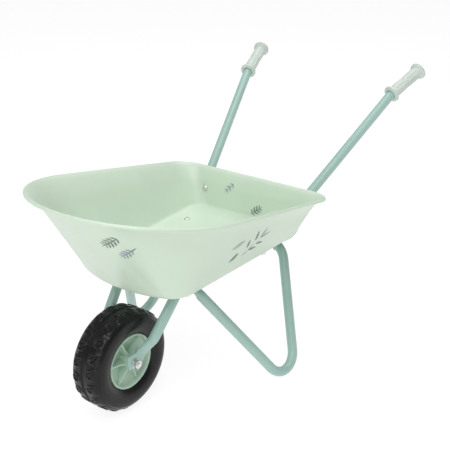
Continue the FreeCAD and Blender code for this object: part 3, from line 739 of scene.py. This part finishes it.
def slabs(stations, steps=7):
    """Rings of a flattened tube through its stations.

    A station is (x, upper edge, lower edge, half thickness, squareness); an edge is (aft, up).
    """
    rows = [(place(x, *upper), place(x, *lower), half_thick, square)
            for x, upper, lower, half_thick, square in stations]
    rows = [rows[0]] + rows + [rows[-1]]
    fine = []
    for four in zip(rows, rows[1:], rows[2:], rows[3:]):
        for step in range(steps):
            fine.append([catmull(*values, step / steps) for values in zip(*four)])
    fine.append(list(rows[-1]))
    rings = []
    for i, (upper, lower, half_thick, square) in enumerate(fine):
        after, before = fine[min(i + 1, len(fine) - 1)], fine[max(i - 1, 0)]
        along = (after[0] + after[1] - before[0] - before[1]).normalized()
        broad = (upper - lower).normalized()
        along = (along - broad * along.dot(broad)).normalized()
        half_broad = (upper - lower).length / 2
        rings.append(section((upper + lower) / 2, along, broad, half_broad, half_thick, square))
    return rings


TAB_RISE, TAB_AHEAD, TAB_LENGTH, TAB_HALF_WIDTH, TAB_NOSE = 4.5, 15.0, 13.0, 12.5, 5.0


def frame_tube():
    """One frame tube, from the flattened fork end to the end inside the grip."""
    tab_up, half_thick = AXLE.z + TAB_RISE, TAB_THICK / 2
    top, bottom = tab_up + TAB_HALF_WIDTH, tab_up - TAB_HALF_WIDTH
    nose = place(TAB_X, -TAB_AHEAD, tab_up)
    tab = flat_end(nose, AFT, UP, TAB_LENGTH, TAB_HALF_WIDTH, half_thick, TAB_NOSE)
    tab_end = TAB_LENGTH - TAB_AHEAD
    up_arm = (fork_top - fork_foot).normalized()
    across = yz_across(up_arm).normalized() * TUBE_RADIUS
    aft, up = fork_foot.y - AXLE.y, fork_foot.z
    twist = slabs([
        (TAB_X, (tab_end, top), (tab_end, bottom), half_thick, BOXY),
        (TAB_X, (2.5, top), (3.5, bottom), half_thick, BOXY),
        (TAB_X, (5.4, 103.2), (9.5, 78.6), half_thick, 6.5),
        (31.3, (7.2, 104.6), (16.0, 82.0), 2.0, 5.5),
        (33.6, (8.0, 108.6), (21.6, 90.6), 3.0, 3.8),
        (39.8, (9.9, 115.8), (25.6, 102.6), 5.2, 2.6),
        (46.8, (13.9, 124.4), (28.0, 113.0), 7.4, 2.1),
        (fork_foot.x, (aft + across.y, up + across.z), (aft - across.y, up - across.z), TUBE_RADIUS, ROUND),
    ])
    tube_end = grip_mouth + grip_along * TUBE_IN_GRIP
    corners = [fork_foot, fork_top, rear_corner, handle_foot, grip_mouth, tube_end]
    path = rounded_path(corners, (FORK_BEND, REAR_BEND, HANDLE_BEND, GRIP_BEND))
    return skin(tab[:-1] + twist[:-1] + tube_rings(path, yz_across(up_arm)))


def add_tube(name, part, node):
    make_mesh(name, *part, enamel_sage, "frame", "tube_enamel", [node], sharp=50)


left_tube = frame_tube()
add_tube("left_frame_pipe", left_tube, "left_frame_tube")
add_tube("right_frame_pipe", mirrored(left_tube), "right_frame_tube")


def leg_pipe():
    """Both legs, the feet and the crossbar as one bent pipe with two flattened ends."""
    half_thick, half_width = TAB_THICK / 2, 11.0
    tab_centre = floor_point(FRONT_BOLT_AFT, 2 * TUBE_RADIUS + half_thick)
    tab_end = place(71.0, 101.5, tab_centre.z)
    outward = (tab_end - tab_centre).normalized()
    length = (tab_end - tab_centre).length + half_width
    nose = tab_centre - outward * half_width
    rings = flat_end(nose, outward, outward.cross(UP), length, half_width, half_thick, half_width)
    down = (foot_corner - leg_top).normalized()
    rings += neck(tab_end, outward, leg_top, down, lambda along: along.cross(UP), half_width, half_thick)
    middle = Vector((0, bar_corner.y, bar_corner.z))
    path = rounded_path([leg_top, foot_corner, bar_corner, middle], (FOOT_BEND, BAR_BEND), step_angle=3.0)
    rings += tube_rings(path, down.cross(UP))
    return skin(rings + [[MIRROR @ p for p in ring] for ring in rings[-2::-1]])


add_tube("leg_pipe", leg_pipe(), "leg_stand")

# ---------------- wheel

ON_AXLE = axes_at(AXLE, LEFT, UP)
LUGS, TREAD_STEPS = 20, 720
WHEEL_RADIUS, TREAD_TOP, TREAD_FOOT = 86.0, 83.9, 74.5
SHOULDER, BOSS_ACROSS = 20.0, 14.0
NOTCH_HALF, NOTCH_START, NOTCH_STOP, NOTCH_DEPTH = 3.4, 15.0, 31.0, 0.9


def tyre_profile():
    """Half the tyre's bare section, from the middle of the tread to the bead, as (along, radius)."""
    corners = [
        (0, 81.4), (3.0, 81.4), (4.6, 83.9), (20.5, 83.1), (25.2, 80.0), (27.6, 76.4), (29.2, 75.0),
        (31.0, 68.0), (30.4, 58.0), (27.2, 51.2), (24.2, 47.4), (21.0, 46.8), (21.0, 44.0),
    ]
    radii = [0, 0.8, 0.9, 3.0, 3.0, 1.2, 1.0, 5.0, 6.0, 4.0, 1.5, 0.5, 0]
    return [Vector(point) for point in eased(corners, radii)]


def resample(points, spacing_at):
    """The same polyline with extra points, at most spacing_at(point) apart."""
    out = [points[0]]
    for start, stop in zip(points, points[1:]):
        pieces = max(1, math.ceil((stop - start).length / spacing_at(start)))
        out += [start.lerp(stop, (i + 1) / pieces) for i in range(pieces)]
    return out


def within(limit, distance, slope):
    """1 well inside a limit and 0 beyond it, over a slope that ends there."""
    return smoothstep((limit - distance) / slope)


def ring_boss(distance):
    """Height of a round boss with a raised rim, a hollow and a small middle stud."""
    rim = within(9.8, distance, 1.5) * within(-5.4, -distance, 1.5)
    stud = within(3.3, distance, 1.2)
    hollow = within(5.6, distance, 1.2)
    return 1.3 * rim + 1.0 * stud - 0.8 * hollow * (1 - stud)


def tread_relief(theta, along, radius):
    """How far the tread stands out of the bare section; the two rows of bosses are half a pitch apart."""
    if radius < TREAD_FOOT:
        return 0.0
    pitch = 2 * math.pi / LUGS
    phase = (theta / pitch + (0.0 if along > 0 else 0.5)) % 1.0
    offset = (phase - 0.5) * pitch * WHEEL_RADIUS
    # distance from the middle of the tread, over the shoulder and down the side
    across = abs(along)
    if across > SHOULDER:
        across += max(0.0, TREAD_TOP - radius)
    # a shallow notch between neighbouring bosses, over the shoulder only
    gap = pitch * WHEEL_RADIUS / 2 - abs(offset)
    flank, run_out = 2.0, 4.0
    notch = within(NOTCH_HALF + flank / 2, gap, flank)
    notch *= within(-NOTCH_START, -across, run_out) * within(NOTCH_STOP, across, run_out)
    return ring_boss(math.hypot(offset, across - BOSS_ACROSS)) - NOTCH_DEPTH * notch


def tyre():
    """The moulding with its tread, in rings that are finer over the tread than down the sides."""
    half = resample(tyre_profile(), lambda p: 0.8 if p.y > 74 else 2.5)
    loop = [Vector((-p.x, p.y)) for p in reversed(half)] + half[1:]
    rings, normals = [], []
    count = len(loop)
    for i, point in enumerate(loop):
        run = loop[min(i + 1, count - 1)] - loop[max(i - 1, 0)]
        normals.append(Vector((-run.y, run.x)).normalized())
    for theta in turns(TREAD_STEPS):
        ring = []
        for point, normal in zip(loop, normals):
            lift = tread_relief(theta, point.x, point.y)
            ring.append(polar(point.y + normal.y * lift, theta, point.x + normal.x * lift))
        rings.append(ring)
    return moved(skin(rings, around=True), ON_AXLE)


make_mesh("tyre_moulding", *tyre(), plastic_tyre, "wheel", "tyre", ["tyre"], sharp=55)

HUB_RIBS, RIB_HALF, RIB_DRAFT, RIB_TURN = 6, 1.1, 0.35, math.radians(22)


def hub_half(side):
    """A moulded hub half: outer lip, drum, dished web with radial ribs, and a boss."""
    lip, seat, drum, boss, bore = 46.6, 44.0, 41.5, 12.0, 8.0
    # heights are from the wheel's middle: (radius, height) from the bore to the boss's flank
    end = [(bore, 0), (bore, 25.6), (bore + 0.4, 26.0), (boss - 0.6, 26.0), (boss, 25.4)]
    # (radius, web height, rib height) from the boss to the drum
    web = [(boss, 7.4, 24.5), (boss + 1.2, 7.2, 24.0), (18, 8.6, 22.6), (26, 11.0, 21.2),
           (34, 13.4, 20.2), (drum - 1.5, 15.6, 19.6), (drum, 17.0, 19.4)]
    # (radius, height) over the lip and down to the seat inside the tyre
    rim = [(drum + 0.5, 20.5), (drum + 1.5, 23.4), (drum + 2.0, 23.9), (lip - 1.2, 24.6), (lip - 0.4, 24.4),
           (lip, 23.6), (lip, 22.2), (lip - 0.4, 21.6), (seat, 21.2), (seat, 0)]
    between = 10

    def ring_at(radius, low, high):
        """A ring whose points follow the ribs' flanks at any radius."""
        half = math.asin(RIB_HALF / radius)
        draft = math.asin((RIB_HALF + RIB_DRAFT) / radius)
        points = []
        for rib in range(HUB_RIBS):
            middle = RIB_TURN + 2 * math.pi * rib / HUB_RIBS
            free = 2 * math.pi / HUB_RIBS - 2 * draft
            spots = [(-half, high), (half, high)]
            spots += [(draft + free * i / between, low) for i in range(between + 1)]
            points += [polar(radius, middle + turn, height) for turn, height in spots]
        return points

    rings = [ring_at(radius, height, height) for radius, height in end]
    rings += [ring_at(radius, low, high) for radius, low, high in web]
    rings += [ring_at(radius, height, height) for radius, height in rim]
    return moved(skin(rings, around=True), ON_AXLE @ Matrix.Scale(side, 4, UP))


def bush():
    """A flanged bush in the end of the hub's boss."""
    inner, outer, flange = 6.06, 8, 10.5
    profile = [(12, inner), (12, outer), (26, outer), (26, flange), (27.6, flange), (27.6, inner)]
    return lathe(eased(profile, [0.3, 0.4, 0.3, 0.5, 0.5, 0.3]))


for side_name, side in (("left", 1), ("right", -1)):
    make_mesh(f"{side_name}_hub_moulding", *hub_half(side), plastic_hub, "wheel", "hub_plastic",
              [f"{side_name}_hub_half"], sharp=30)
    turned = moved(bush(), ON_AXLE @ Matrix.Scale(side, 4, UP))
    make_mesh(f"{side_name}_bush_ring", *turned, plastic_bush, "wheel", "bush_plastic",
              [f"{side_name}_hub_bush"])

# ---------------- grips

GRIP_LENGTH, GRIP_AROUND, BARREL = 85.0, 96, 10.7
PAD_ROWS = ((10.5, 38.5), (42.5, 73.0))
PAD_HALF_WIDTH, PAD_CORNER, PAD_EDGE, PAD_HEIGHT = 6.4, 5.2, 0.9, 0.75
# (along, radius) over the flange, the barrel and the cap, from the mouth to the middle of the end
GRIP_OUTSIDE = [
    (0, 11.6), (0, 14.6), (0.9, 15.6), (3.6, 15.6), (4.6, 14.4), (5.6, 11.6), (8.5, BARREL),
    (42, 10.3), (74.5, BARREL), (77.4, 12.0), (78.4, 14.6), (79.2, 15.4), (80.6, 15.4), (81.0, 14.9),
    (81.6, 14.9), (82.0, 15.8), (83.4, 15.7), (84.4, 13.6), (GRIP_LENGTH, 9.0), (GRIP_LENGTH, 0.01),
]
# and back along the blind bore to the mouth's rounded edge
GRIP_INSIDE = [(70.0, 0.01), (70.0, 8.55), (1.2, 8.55), (0.4, 8.9), (-0.6, 9.4), (-0.9, 10.4), (-0.6, 11.2)]


def pad_height(along, turn):
    """Height of the raised grip pads: rounded rectangles in two rows of four round the barrel."""
    quarter = (turn / (math.pi / 2)) % 1.0 - 0.5
    across = max(0.0, abs(quarter) * math.pi / 2 * BARREL - (PAD_HALF_WIDTH - PAD_CORNER))
    height = 0.0
    for start, stop in PAD_ROWS:
        middle, half = (start + stop) / 2, (stop - start) / 2
        beyond = max(0.0, abs(along - middle) - (half - PAD_CORNER))
        height = max(height, within(PAD_CORNER + 0.4, math.hypot(beyond, across), PAD_EDGE))
    return PAD_HEIGHT * height


def grip(side):
    """A moulded grip with a flange, padded barrel and cap, on one handle."""
    mouth, along = (Vector((side * v.x, v.y, v.z)) for v in (grip_mouth, grip_along))
    outer = resample([Vector(p) for p in GRIP_OUTSIDE], lambda p: 0.8 if 8 < p.x < 75 else 3.0)
    rings = []
    for point in outer + [Vector(p) for p in GRIP_INSIDE]:
        padded = 9 < point.x < 74.6 and point.y > 9
        rings.append([
            polar(point.y + (pad_height(point.x, turn + math.pi / 4) if padded else 0.0), turn, point.x)
            for turn in turns(GRIP_AROUND)
        ])
    vertices, faces = skin(rings, around=True)
    # the cap and the blind bore's end are both closed on the axis, not joined to each other
    cap = (len(outer) - 1) * GRIP_AROUND
    bore_end, after = cap + GRIP_AROUND, cap + 2 * GRIP_AROUND
    faces = [face for face in faces if not (min(face) >= cap and max(face) < after)]
    faces += [tuple(range(cap, bore_end)), tuple(reversed(range(bore_end, after)))]
    return moved((vertices, faces), axes_at(mouth, along, UP))


for side_name, side in (("left", 1), ("right", -1)):
    make_mesh(f"{side_name}_grip_moulding", *grip(side), plastic_grip, "frame", "grip_plastic",
              [f"{side_name}_grip"], sharp=45)

# ---------------- fasteners

BOLT, SHANK, HEAD_RADIUS, HEAD_HEIGHT = 3.0, 2.9, 5.6, 2.8
NUT_FLATS, NUT_THICK, NUT_BORE = 10.0, 5.0, 2.75
WASHER_RADIUS, WASHER_BORE, WASHER_THICK = 6.2, 3.05, 1.2
SEAT_DEPTH, SCREW_RISE = 0.4, 0.38
AXLE_BOLT, AXLE_FLATS, AXLE_HEAD, AXLE_NUT, AXLE_WASHER = 4.0, 13.0, 5.3, 6.5, 1.4


def hexagon_radius(angle, flats):
    """Distance from a hexagon's middle to its outline."""
    sector = (angle + math.pi / 6) % (math.pi / 3) - math.pi / 6
    return flats / 2 / math.cos(sector)


HEX_AROUND = 72


def hex_piece(flats, height, bore, chamfered=(True, True)):
    """A hexagon with cone-chamfered faces, bored through or closed."""
    crown = flats / 2 * 0.96
    inner, sink, widening = (bore, 0.35, 0.45) if bore else (0.02, 0.0, 0.02)

    def round_ring(radius, z):
        return [polar(radius, angle, z) for angle in turns(HEX_AROUND)]

    def edge_ring(z, slope):
        """The hexagon's outline, leaving a face where the chamfer's cone cuts it."""
        ring = []
        for angle in turns(HEX_AROUND):
            radius = hexagon_radius(angle, flats)
            ring.append(polar(radius, angle, z + slope * max(0.0, radius - crown)))
        return ring

    low_slope, high_slope = (math.tan(math.radians(32)) if cut else 0.0 for cut in chamfered)
    rings = [
        round_ring(inner, sink), round_ring(inner + widening, 0), round_ring(crown, 0),
        edge_ring(0, low_slope), edge_ring(height, -high_slope),
        round_ring(crown, height), round_ring(inner + widening, height), round_ring(inner, height - sink),
    ]
    return skin(rings, around=bool(bore), capped=not bore)


def threaded_rod(radius, pitch, start, stop, end_chamfer=0.8):
    """A rod along +Z with a helical thread between two heights."""
    around, per_pitch = 36, 8
    depth = 0.61 * pitch
    rings = []
    count = max(2, round((stop - start) / pitch * per_pitch))
    for i in range(count + 1):
        z = start + (stop - start) * i / count
        chamfer = radius - end_chamfer + min(z - start, stop - z)
        ring = []
        for j, angle in enumerate(turns(around)):
            wave = abs(((z / pitch - j / around) % 1.0) * 2 - 1)
            thread = radius - depth * (1 - smoothstep(wave * 1.1))
            ring.append(polar(min(thread, chamfer), angle, z))
        rings.append(ring)
    return skin(rings)


def socket_head(radius, height, shank, length, socket=2.0, socket_depth=1.5):
    """A low domed head with a hexagon socket on the local origin, and its shank below."""
    mouth, skirt, edge, dome_steps = socket * 1.32, height * 0.28, 0.25, 8

    def hex_ring(scale, z):
        return [polar(hexagon_radius(a, 2 * socket) * scale, a, z) for a in turns(HEX_AROUND)]

    dome = [(mouth, height)]
    for step in range(1, dome_steps + 1):
        angle = math.pi / 2 * step / dome_steps
        dome.append((mix(mouth, radius, math.sin(angle)), mix(skirt, height, math.cos(angle))))
    below = [(radius, edge), (radius - edge, 0), (shank, 0), (shank, -length), (0.02, -length)]
    bottom = height - socket_depth
    rings = [hex_ring(0.02, bottom), hex_ring(1.0, bottom), hex_ring(1.0, height - 0.15)]
    rings += [[polar(r, angle, z) for angle in turns(HEX_AROUND)] for r, z in dome + below]
    return skin(rings)


def washer(radius, bore, height):
    profile = [(0, bore), (0, radius), (height, radius), (height, bore)]
    return lathe(eased(profile, [0.15, 0.35, 0.35, 0.15], 3))


def add_zinc(name, part, node):
    make_mesh(name, *part, zinc, "frame", "zinc", [node], sharp=35)


def bolted(label, seat, up, stack, past_nut=1.2):
    """Bolt pair, washer pair and nut pair of two mirrored holes; stack is what they clamp."""
    local = axes_at(seat, up)
    under_washer = stack + WASHER_THICK
    under_nut = under_washer + NUT_THICK
    shank, tail = under_washer + 1.0, under_nut + past_nut
    thread = moved(threaded_rod(BOLT, 1.0, 0, tail - shank), raised(-tail))
    bolt = joined(socket_head(HEAD_RADIUS, HEAD_HEIGHT, SHANK, shank), thread)
    ring = moved(washer(WASHER_RADIUS, WASHER_BORE, WASHER_THICK), raised(-under_washer))
    nut = moved(hex_piece(NUT_FLATS, NUT_THICK, NUT_BORE), raised(-under_nut))
    for piece, part in (("bolt", bolt), ("washer", ring), ("nut", nut)):
        add_zinc(f"{label}_{piece}_pair", both_sides(moved(part, local)), f"{label}_{piece}s")


# the heads on the floor sit in pressed seats
SEAT = SHEET - SEAT_DEPTH
# the pressed wall's thickness, with room for the head where the tray's corner starts to turn
WALL_STACK = SHEET * 1.07 + 2.1
ACROSS_TUBE = 2 * TUBE_RADIUS
front_seat = floor_point(FRONT_BOLT_AFT, -SEAT)
bolted("front_floor", front_seat, FLOOR_UP, SEAT + ACROSS_TUBE + TAB_THICK, past_nut=5.5)
bolted("rear_floor", floor_point(REAR_BOLT_AFT, -SEAT), FLOOR_UP, SEAT + ACROSS_TUBE)
wall_seat = wall_centre + wall_in * (TUBE_RADIUS + WALL_STACK)
bolted("rear_wall", wall_seat, wall_in, WALL_STACK + ACROSS_TUBE)

screw_up = (tube_touch - bar_touch).normalized()
screw_at = axes_at(bar_touch - screw_up * (TUBE_RADIUS + SCREW_RISE), -screw_up)
screw = socket_head(radius=4.8, height=2.8, shank=2.4, length=20.2, socket=1.6, socket_depth=1.3)
add_zinc("crossbar_screw_pair", both_sides(moved(screw, screw_at)), "crossbar_screws")

tab_outside = TAB_X + TAB_THICK / 2
half_span = tab_outside + AXLE_WASHER
plain = AXLE_BOLT - 0.05
shank = [(-half_span, 0.02), (-half_span, plain), (half_span, plain), (half_span, 0.02)]
axle_bolt = joined(
    moved(hex_piece(AXLE_FLATS, AXLE_HEAD, 0, (True, False)), raised(-half_span - AXLE_HEAD)),
    lathe(shank, 48, poles=True),
    moved(threaded_rod(AXLE_BOLT, pitch=1.25, start=0, stop=8.5), raised(half_span)),
)
axle_nut = moved(hex_piece(AXLE_FLATS, AXLE_NUT, 3.7), raised(half_span))
axle_washer = moved(washer(8.0, 4.05, AXLE_WASHER), ON_AXLE @ raised(tab_outside))
sleeve_end, sleeve_bore, sleeve_outside = 29.2, 4.05, 6.0
sleeve = [(-sleeve_end, sleeve_bore), (-sleeve_end, sleeve_outside),
          (sleeve_end, sleeve_outside), (sleeve_end, sleeve_bore)]
add_zinc("axle_bolt_whole", moved(axle_bolt, ON_AXLE), "axle_bolt")
add_zinc("axle_nut_whole", moved(axle_nut, ON_AXLE), "axle_nut")
add_zinc("axle_washer_pair", both_sides(axle_washer), "axle_washers")
add_zinc("axle_spacer", moved(lathe(eased(sleeve, [0.2, 0.3, 0.3, 0.2])), ON_AXLE), "axle_sleeve")

# ---------------- camera, light and floor

AZIMUTH, ELEVATION = 0.643, 0.400
CAMERA_DISTANCE, CAMERA_RIGHT, CAMERA_DOWN = 1.4989, 0.0042, 0.0116
LENS, SENSOR = 67.27, 36
box_centre = (cad_low + cad_high) / 2
right = Vector((math.cos(AZIMUTH), math.sin(AZIMUTH), 0))
level_back = right.cross(UP)
back = level_back * math.cos(ELEVATION) + UP * math.sin(ELEVATION)
camera_up = back.cross(right)
camera_data = bpy.data.cameras.new("camera")
camera_data.lens = LENS
camera_data.sensor_width = SENSOR
camera = bpy.data.objects.new("camera", camera_data)
camera.location = box_centre + back * CAMERA_DISTANCE + right * CAMERA_RIGHT - camera_up * CAMERA_DOWN
camera.rotation_euler = (math.pi / 2 - ELEVATION, 0, AZIMUTH)
bpy.context.scene.collection.objects.link(camera)
bpy.context.scene.camera = camera


def area_light(name, position, target, size, power):
    """A square light of a size in metres and a power in watts, aimed at a target."""
    data = bpy.data.lights.new(name, "AREA")
    data.size = size
    data.energy = power
    thing = bpy.data.objects.new(name, data)
    thing.location = position
    aim = Vector(target) - Vector(position)
    thing.rotation_euler = aim.to_track_quat("-Z", "Y").to_euler()
    bpy.context.scene.collection.objects.link(thing)


BARROW, WHEEL = (0, 0, 0.2), (0, -0.25, 0.12)
SKY, FLOOR_GREY, FLOOR_GLOW = 0.36, (0.2, 0.2, 0.2), 0.87
area_light("key", (0.6, -1.6, 2.3), BARROW, 2.0, 36)
area_light("fill", (-2.2, -1.2, 1.4), BARROW, 1.6, 2.5)
area_light("low", (0.9, -1.6, 0.35), WHEEL, 0.8, 2)
area_light("top", (0.0, 0.8, 2.6), BARROW, 2.0, 30)

world = bpy.data.worlds.new("studio")
world.use_nodes = True
background = world.node_tree.nodes["Background"]
background.inputs["Color"].default_value = (1, 1, 1, 1)
background.inputs["Strength"].default_value = SKY
bpy.context.scene.world = world
bpy.context.scene.view_settings.view_transform = "Standard"

FLOOR_REACH = 12.0
floor_corners = [(x * FLOOR_REACH, y * FLOOR_REACH, 0) for x, y in ((-1, -1), (1, -1), (1, 1), (-1, 1))]
floor_mesh = bpy.data.meshes.new("studio_floor")
floor_mesh.from_pydata(floor_corners, [], [(0, 1, 2, 3)])
floor_paint, _, floor_shader = shader("floor_paint", FLOOR_GREY, 0.9)
floor_shader.inputs["Emission Color"].default_value = (1, 1, 1, 1)
floor_shader.inputs["Emission Strength"].default_value = FLOOR_GLOW
floor_mesh.materials.append(floor_paint)
studio_floor = bpy.data.objects.new("studio_floor", floor_mesh)
bpy.context.scene.collection.objects.link(studio_floor)
